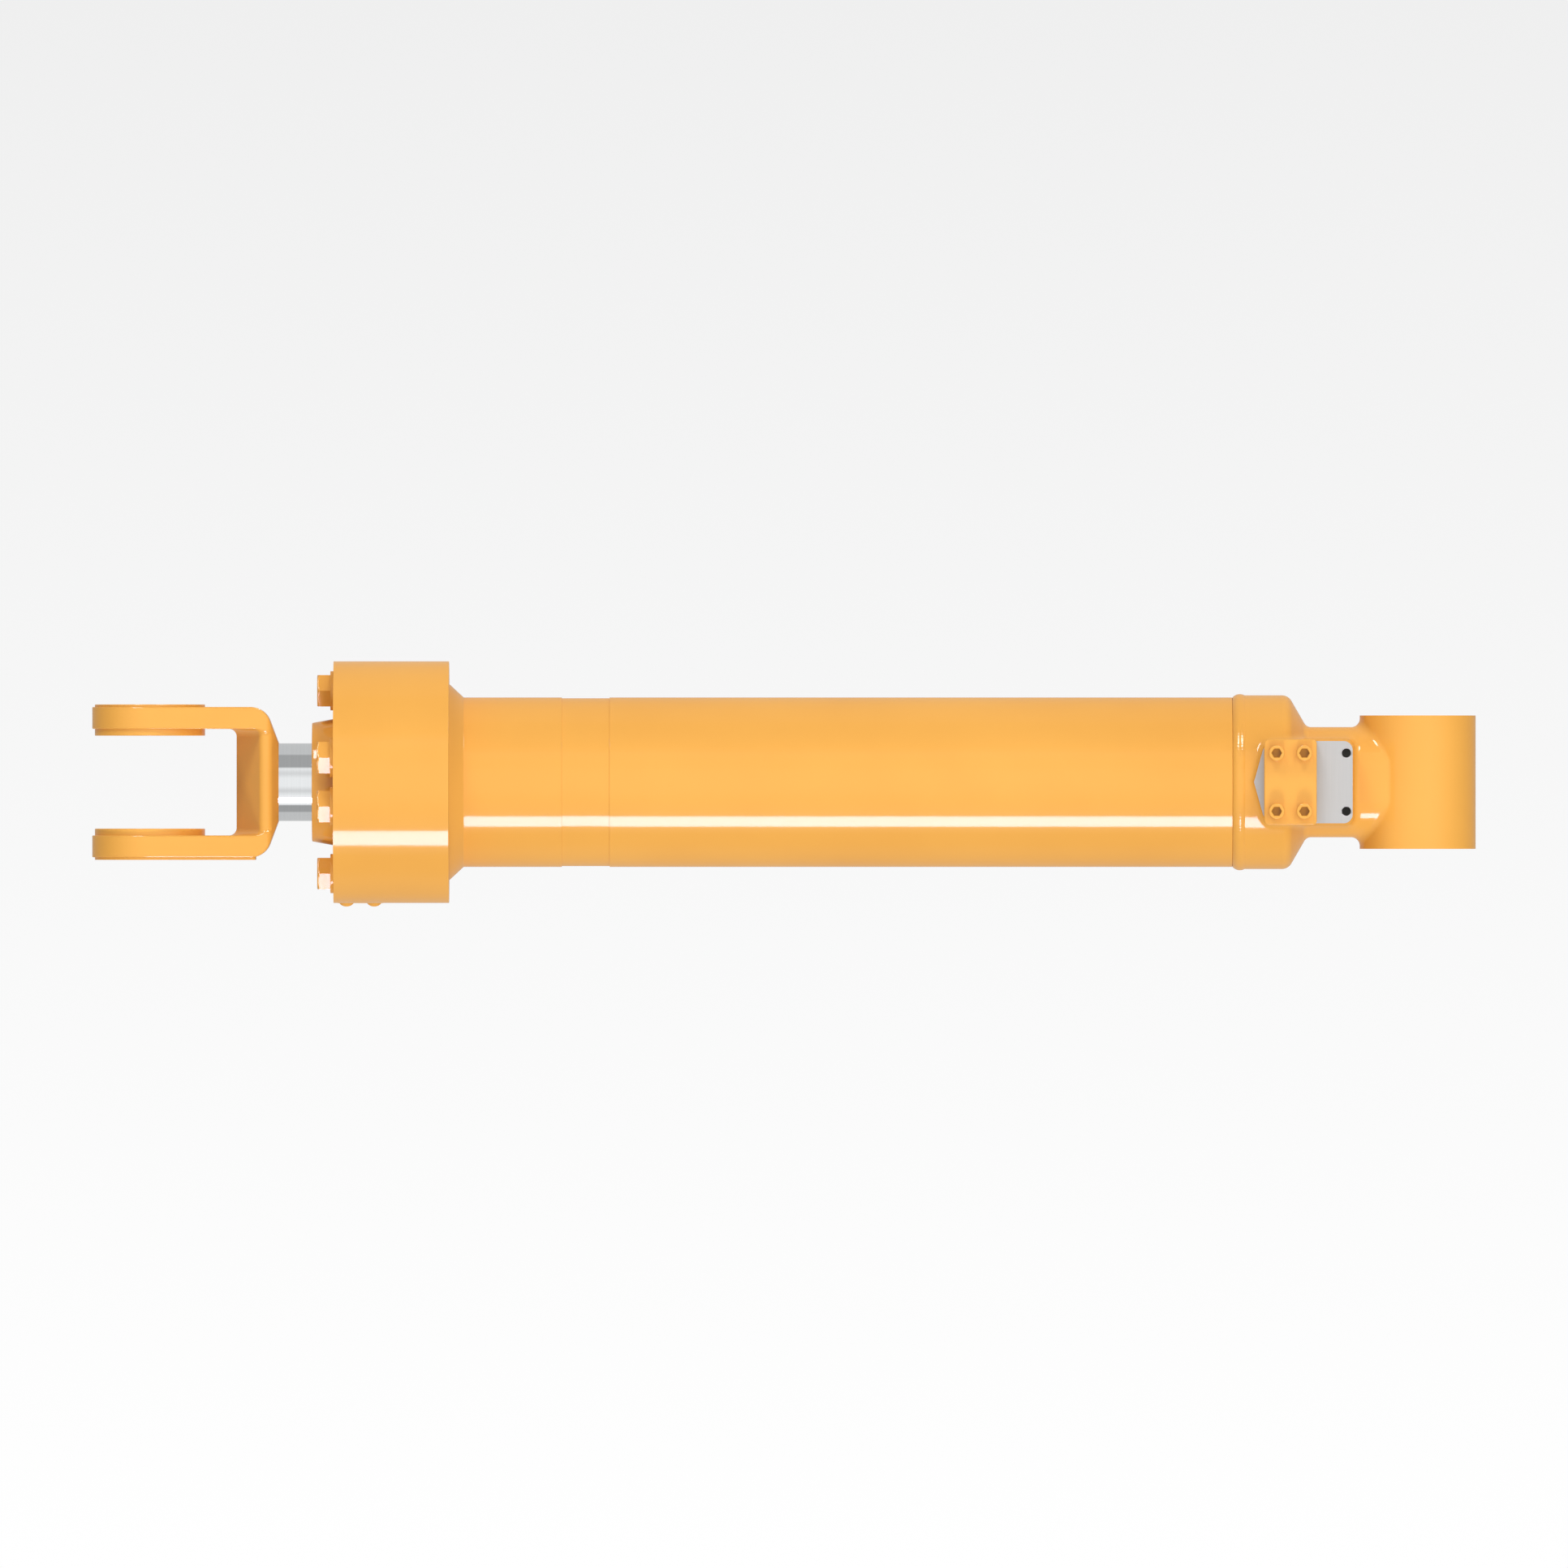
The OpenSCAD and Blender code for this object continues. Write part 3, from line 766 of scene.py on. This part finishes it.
def make_gland():
    low, high = (GLAND_INNER, -FLANGE_R, -FLANGE_R), (GLAND_TIP, FLANGE_R, FLANGE_R)
    add_painted("gland_casting", field_mesh(gland, low, high, CAST_STEP), ["gland"], field=gland)
    reach = BOLT_FLATS / math.sqrt(3)
    low, high = (PARTING - BOLT_REACH, -reach, -reach), (HEAD_FRONT, reach, reach)
    bolt = field_mesh(hex_bolt, low, high, BOLT_STEP)
    places = [lambda points, by=by, bz=bz: points + [0, by, bz] for by, bz in bolt_centres()]
    add_painted("gland_hex_bolts", copies(bolt, places), ["gland_bolts"], field=all_bolts)
    washer = turned([
        (FLANGE_FRONT, WASHER_BORE_R, WASHER_EDGE), (FLANGE_FRONT, WASHER_R, WASHER_EDGE),
        (WASHER_FRONT, WASHER_R, WASHER_EDGE), (WASHER_FRONT, WASHER_BORE_R, WASHER_EDGE),
    ])
    add_painted("gland_flat_washers", copies(washer, places), ["gland_washers"])


# ---- Port covers ----

COVER_CORNER = 5
COVER_EDGE = 1.5
COVER_STEP = 1.4
SCREW_R = 6
SCREW_CLEARANCE = 0.75
SCREW_GRIP = 20
SCREW_HEAD_R = 9
SCREW_HEAD_HEIGHT = 12
SCREW_HEAD_EDGE = 1.2
SCREW_FLATS = 10
SCREW_STEP = 0.7
SOCKET_DEPTH = 6
SOCKET_CHAMFER = 0.6
SOCKET_REACH = SCREW_FLATS * 0.6


def cover(points):
    """Plate standing on the xy plane, its long side along y."""
    x, y, z = parts(points)
    edge = round_edge(np.abs(x) - COVER_HALF_LENGTH, np.abs(y) - COVER_HALF_WIDTH, COVER_CORNER)
    plate = largest(round_edge(edge, z - COVER_T, COVER_EDGE), -z)
    return largest(plate, -port_screw_holes(x, y, SCREW_R + SCREW_CLEARANCE))


def socket_screw(points):
    """Socket-head screw standing on a plate's top at z = 0."""
    x, y, z = parts(points)
    radius = np.hypot(x, y)
    head = largest(round_edge(radius - SCREW_HEAD_R, z - SCREW_HEAD_HEIGHT, SCREW_HEAD_EDGE), -z)
    shank = largest(radius - SCREW_R, -z - COVER_T - SCREW_GRIP, z - 1)
    sink = np.maximum(z - SCREW_HEAD_HEIGHT + SOCKET_CHAMFER, 0)
    socket = largest(hexagon(x, y, SCREW_FLATS) - sink, SCREW_HEAD_HEIGHT - SOCKET_DEPTH - z)
    return largest(np.minimum(head, shank), -socket)


def make_port(name, turn, height, station):
    """A port's cover and its four screws; turn is the side's angle from y towards z."""
    def back(points):
        flat = np.asarray(points).reshape(-1, 3) - [station, 0, 0]
        return (turned_about_x(flat, 90 - turn) - [0, 0, height]).reshape(points.shape)

    def cover_field(points):
        return cover(back(points))

    def screw_field(points):
        x, y, z = parts(back(points))
        x = x - np.sign(x) * PORT_PITCH_SHORT / 2
        y = y - np.sign(y) * PORT_PITCH_LONG / 2
        return socket_screw(np.stack([x, y, z - COVER_T], -1))

    def in_socket(centres):
        """1 inside the hexagon sockets, which get the darker enamel that paints in the recesses' shade, and 0
        elsewhere.
        """
        x, y, z = parts(back(centres))
        off = np.hypot(np.abs(x) - PORT_PITCH_SHORT / 2, np.abs(y) - PORT_PITCH_LONG / 2)
        return (off < SOCKET_REACH) & (z > COVER_T) & (z < COVER_T + SCREW_HEAD_HEIGHT - 0.4)

    low, high = (-COVER_HALF_LENGTH, -COVER_HALF_WIDTH, 0), (COVER_HALF_LENGTH, COVER_HALF_WIDTH, COVER_T)
    vertices, faces = field_mesh(cover, low, high, COVER_STEP)
    plate = on_side(turn, height, station)(vertices), faces
    add_painted(f"{name}_port_plate", plate, [f"{name}_port_cover"], field=cover_field)
    low = (-SCREW_HEAD_R, -SCREW_HEAD_R, -COVER_T - SCREW_GRIP)
    high = (SCREW_HEAD_R, SCREW_HEAD_R, SCREW_HEAD_HEIGHT)
    screw = field_mesh(socket_screw, low, high, SCREW_STEP)
    spots = [(x * PORT_PITCH_SHORT / 2, y * PORT_PITCH_LONG / 2) for x in (-1, 1) for y in (-1, 1)]
    screws = copies(screw, [on_side(turn, height + COVER_T, station, spot) for spot in spots])
    # The second finish paints shade into the hexagon sockets.
    add_painted(f"{name}_socket_screws", screws, [f"{name}_port_screws"], finishes=[PAINT, SOCKET_SHADE_PAINT],
                field=screw_field, pick=in_socket)


# ---- Rod and clevis ----

EAR_R = 66.2
EAR_IN = 61.1
EAR_OUT = 86.2
BOSS_R = 63.2
BOSS_IN = 53.3
BOSS_OUT = 89.1
CROTCH = 1354.6
CROTCH_NOSE = 7
CROTCH_SLANT = math.radians(63.3)
BACK_SLANT_Y = math.radians(64.4)
BACK_SLANT_Z = math.radians(69.3)
BASE_EDGE = 8.8
BACK_EDGE = 10
SIDE_EDGE = 24
EAR_EDGE = 1.2
BOSS_EDGE = 1
BOSS_CHAMFER = 1.5
KEEPER_END = 1332.5
KEEPER_EDGE = 3
KEEPER_X = 1366
KEEPER_R = 7
KEEPER_CHAMFER = 1


def slanted(x, across, x0, across0, angle, side):
    """Plane through (x0, across0) that leans back by angle from the x axis."""
    return side * math.sin(angle) * (x - x0) + math.cos(angle) * (across - across0)


def clevis(points):
    x, y, z = parts(points)
    depth, height = np.abs(y), np.abs(z)
    from_pin = np.hypot(x - CLEVIS_PIN, y)
    near = np.where(x > CLEVIS_PIN, from_pin, depth) - EAR_R
    back = slanted(x, depth, CLEVIS_BACK, ROD_R, BACK_SLANT_Y, -1)
    crotch = largest(slanted(x, depth, CROTCH, CROTCH_NOSE, CROTCH_SLANT, 1), x - CROTCH)
    base = round_edge(crotch, back, BASE_EDGE, math.cos(CROTCH_SLANT + BACK_SLANT_Y))
    outline = round_edge(near, back, BACK_EDGE, math.cos(BACK_SLANT_Y))
    slope_z = slanted(x, height, CLEVIS_BACK, ROD_R, BACK_SLANT_Z, -1)
    side = round_edge(slope_z, height - EAR_OUT, SIDE_EDGE, math.cos(BACK_SLANT_Z))
    inner = round_edge(fillet(base, EAR_IN - height, BASE_EDGE), near, EAR_EDGE)
    body = largest(inner, round_edge(outline, side, EAR_EDGE), CLEVIS_BACK - x)
    boss = round_edge(from_pin - BOSS_R, largest(height - BOSS_OUT, BOSS_IN - height), BOSS_EDGE)
    keeper = round_edge(depth - BOSS_R, KEEPER_END - x, KEEPER_EDGE)
    keeper = round_edge(keeper, -z - BOSS_OUT, BOSS_EDGE)
    keeper = largest(keeper, z + EAR_OUT - 3, x - CLEVIS_PIN)
    body = np.minimum(np.minimum(body, boss), keeper)
    sink = np.maximum(height - BOSS_OUT + BOSS_CHAMFER, 0) + np.maximum(BOSS_IN + BOSS_CHAMFER - height, 0)
    bore = from_pin - PIN_R - sink
    keeper_sink = np.maximum(-z - BOSS_OUT + KEEPER_CHAMFER, 0)
    keeper_hole = largest(np.hypot(x - KEEPER_X, y) - KEEPER_R - keeper_sink, z)
    return largest(body, -bore, -keeper_hole)


def clevis_finish(centres):
    """0 for paint, 1 inside the pin bore, 2 inside the keeper's hole."""
    x, y, z = parts(centres)
    in_bore = np.hypot(x - CLEVIS_PIN, y) < PIN_R + 1.5
    in_hole = (np.hypot(x - KEEPER_X, y) < KEEPER_R + 0.8) & (z < 0)
    return np.where(in_bore, 1, np.where(in_hole, 2, 0))


ROD_TAIL = 169
TAIL_R = 29.5
STEM_R = 32.5
SHOULDER = 312
CENTRE_R = 0.5


def make_rod_end():
    low, high = (CLEVIS_BACK, -EAR_R, -BOSS_OUT), (CLEVIS_PIN + EAR_R, EAR_R, BOSS_OUT)
    mesh = field_mesh(clevis, low, high, CAST_STEP)
    finishes = [PAINT, STEEL, THREAD]
    add_piece("rod_clevis_casting", mesh, "rod", "yellow_paint", finishes, ["rod_clevis"],
              field=clevis, pick=clevis_finish)
    bar = [
        (ROD_TAIL, CENTRE_R, 0), (ROD_TAIL, TAIL_R, 0), (ROD_TAIL + 3, STEM_R, 0), (SHOULDER - 1, STEM_R, 0),
        (SHOULDER, ROD_R, 0), (CLEVIS_BACK, ROD_R, 0), (CLEVIS_BACK, CENTRE_R, 0),
    ]
    add_piece("chromed_rod", turned(bar), "rod", "rod_chrome", [CHROME], ["piston_rod"])
    wiper = [
        (WIPER_SEAT_START + 4, ROD_R + 0.1, 0), (WIPER_SEAT_START, ROD_R + 2, 0),
        (WIPER_SEAT_START, WIPER_SEAT_R, 0),
        (GLAND_TIP - 0.4, WIPER_SEAT_R, 0.3), (GLAND_TIP - 0.4, 49.5, 0.5), (GLAND_TIP - 3, 48.5, 0.5),
        (GLAND_TIP - 3, 47.5, 0.5), (GLAND_TIP, 46.2, 0.4), (GLAND_TIP - 1, ROD_R + 0.1, 0.2),
    ]
    add_piece("rod_wiper_lip", turned(wiper), "barrel", "seal_rubber", [RUBBER], ["rod_wiper"])


# ---- Nodes that stay as the CAD made them ----

KEPT = {
    "piston": IRON, "piston_nut": STEEL,
    "gland_backup_ring": RESIN, "rod_buffer_seal": RESIN, "rod_wear_ring_outer": RESIN,
    "rod_wear_ring_inner": RESIN, "piston_seal_ring": RESIN, "piston_wear_ring_front": RESIN,
    "piston_wear_ring_rear": RESIN, "gland_o_ring": RUBBER, "rod_seal": RUBBER,
    "base_port_o_ring": RUBBER, "rod_port_o_ring": RUBBER, "piston_seal_energizer": RUBBER,
    "piston_static_o_ring": RUBBER,
}


def finish_kept_nodes():
    for name, finish in KEPT.items():
        node = frame["nodes"][name]
        node.data.materials.clear()
        node.data.materials.append(finish)


# ---- Camera, light and stage ----

VIEW_WIDTH = 1.79676
VIEW_X = -0.7268
VIEW_Y = -0.07
VIEW_Z = -0.0021
LENS = 1500
SENSOR = 36
FLOOR_Z = -1.2
FLOOR_HALF = 13


def make_camera():
    """A long lens far away, so that the view has hardly any perspective."""
    data = bpy.data.cameras.new("camera")
    data.lens = LENS
    data.sensor_width = SENSOR
    distance = VIEW_WIDTH * LENS / SENSOR
    data.clip_start, data.clip_end = distance * 0.1, distance * 4
    camera = bpy.data.objects.new("camera", data)
    camera.location = (VIEW_X, VIEW_Y - distance, VIEW_Z)
    camera.rotation_euler = (math.radians(90), 0, 0)
    bpy.context.scene.collection.objects.link(camera)
    bpy.context.scene.camera = camera


def lamp(name, elevation, azimuth, strength, width, gloss=False, colour=(1, 1, 1)):
    """Distant soft lamp that makes only light or only gloss.

    Angles are in degrees, and azimuth 0 is the camera's side.
    """
    data = bpy.data.lights.new(name, "SUN")
    data.energy = strength
    data.angle = math.radians(width)
    data.color = colour
    light = bpy.data.objects.new(name, data)
    light.rotation_euler = (math.radians(90 - elevation), 0, math.radians(azimuth))
    light.visible_glossy = gloss
    light.visible_diffuse = not gloss
    bpy.context.scene.collection.objects.link(light)


def make_lamps():
    """One key below and two above, each with a lamp for its gloss, and soft fills."""
    lamp("key_below", -55.5, 0, 1.15, 15.5)
    lamp("gloss_below", -55.5, 0, 1.18, 15.5, gloss=True, colour=(1.0, 0.75, 1.0))
    lamp("key_left", 53, -33, 0.94, 17)
    lamp("gloss_left", 53, -32, 1.60, 17, gloss=True, colour=(1.0, 0.90, 1.0))
    lamp("key_right", 53, 33, 0.78, 17)
    lamp("gloss_right", 53, 32, 1.60, 17, gloss=True, colour=(1.0, 0.90, 1.0))
    lamp("fill_front", 0, 34, 0.82, 40)
    lamp("fill_below", -80, 0, 0.20, 100)
    lamp("fill_above", 80, 0, 0.10, 100)
    lamp("fill_behind", 20, 180, 0.9, 100)


# Grey levels: round the x axis by angle from the camera's side, towards either end, and behind the object.
RING = [
    (-180, 0.57), (-102, 0.57), (-98, 0.37), (-74, 0.37), (-70, 0.95), (-42, 0.95), (-26, 0.70),
    (-12, 0.92), (12, 0.92), (26, 0.72), (41, 0.90), (46, 0.39), (87, 0.39), (92, 0.58), (180, 0.58),
]
SIDES = [(-1, 0.20), (0, 0.45), (1, 0.22)]
BACKDROP = [(-0.0120, 1.0), (-0.0067, 0.973), (0.0033, 0.913), (0.0120, 0.865)]


class World:
    """Soft studio surround for light and gloss, and a pale backdrop for the camera."""

    def __init__(self):
        world = bpy.data.worlds.new("studio")
        world.use_nodes = True
        bpy.context.scene.world = world
        self.tree = world.node_tree
        self.tree.nodes.clear()
        place = self.made("ShaderNodeTexCoord")
        axes = self.made("ShaderNodeSeparateXYZ", place.outputs["Generated"])
        across, depth, height = axes.outputs
        toward = self.maths("MULTIPLY", depth, -1)
        ring = self.ramp(self.maths("ARCTAN2", height, toward), RING, math.radians)
        sides = self.ramp(across, SIDES)
        surround = self.mixed("ShaderNodeMixRGB", self.maths("MULTIPLY", across, across), ring, sides)
        shown = self.made("ShaderNodeLightPath").outputs["Is Camera Ray"]
        lit = self.made("ShaderNodeBackground", surround).outputs[0]
        backdrop = self.made("ShaderNodeBackground", self.ramp(height, BACKDROP)).outputs[0]
        self.made("ShaderNodeOutputWorld", self.mixed("ShaderNodeMixShader", shown, lit, backdrop))

    def made(self, kind, *sources):
        node = self.tree.nodes.new(kind)
        for source, socket in zip(sources, node.inputs):
            self.tree.links.new(source, socket)
        return node

    def mixed(self, kind, factor, first, second):
        return self.made(kind, factor, first, second).outputs[0]

    def maths(self, operation, first, second):
        node = self.tree.nodes.new("ShaderNodeMath")
        node.operation = operation
        for value, socket in zip((first, second), node.inputs):
            if isinstance(value, (int, float)):
                socket.default_value = value
            else:
                self.tree.links.new(value, socket)
        return node.outputs[0]

    def ramp(self, value, stops, convert=float):
        """Grey levels at the given values, which convert turns into the units of the input."""
        low, high = convert(stops[0][0]), convert(stops[-1][0])
        spread = self.made("ShaderNodeMapRange", value)
        spread.inputs["From Min"].default_value = low
        spread.inputs["From Max"].default_value = high
        ramp = self.made("ShaderNodeValToRGB", spread.outputs["Result"])
        elements = ramp.color_ramp.elements
        while len(elements) < len(stops):
            elements.new(0.5)
        for element, (position, level) in zip(elements, stops):
            element.position = (convert(position) - low) / (high - low)
            element.color = (level, level, level, 1)
        return ramp.outputs["Color"]


def make_floor():
    """A pale floor that doesn't block, bounce or mirror the lamps' light."""
    data = bpy.data.meshes.new("floor")
    corners = [(x * FLOOR_HALF, y * FLOOR_HALF) for x, y in ((-1, -1), (1, -1), (1, 1), (-1, 1))]
    data.from_pydata([(VIEW_X + x, y, FLOOR_Z) for x, y in corners], [], [(0, 1, 2, 3)])
    stone = Finish("pale_floor", Roughness=0.9)
    stone.colour(stone.noise(0.6, 3), (0.86, 0.86, 0.86), (0.89, 0.89, 0.89))
    data.materials.append(stone.material)
    floor = bpy.data.objects.new("floor", data)
    floor.visible_diffuse = False
    floor.visible_glossy = False
    floor.visible_shadow = False
    bpy.context.scene.collection.objects.link(floor)


# ---- The scene ----

CAST_STEP = 1.8

make_camera()
World()
make_floor()
make_lamps()
make_barrel()
make_base_end()
make_gland()
make_port("base", 0, PAD_HEIGHT, BASE_PORT_X)
make_port("rod", ROD_PORT_TURN, ROD_PORT_FLAT, ROD_PORT_X)
make_rod_end()
finish_kept_nodes()
bpy.context.scene.view_settings.view_transform = "Standard"
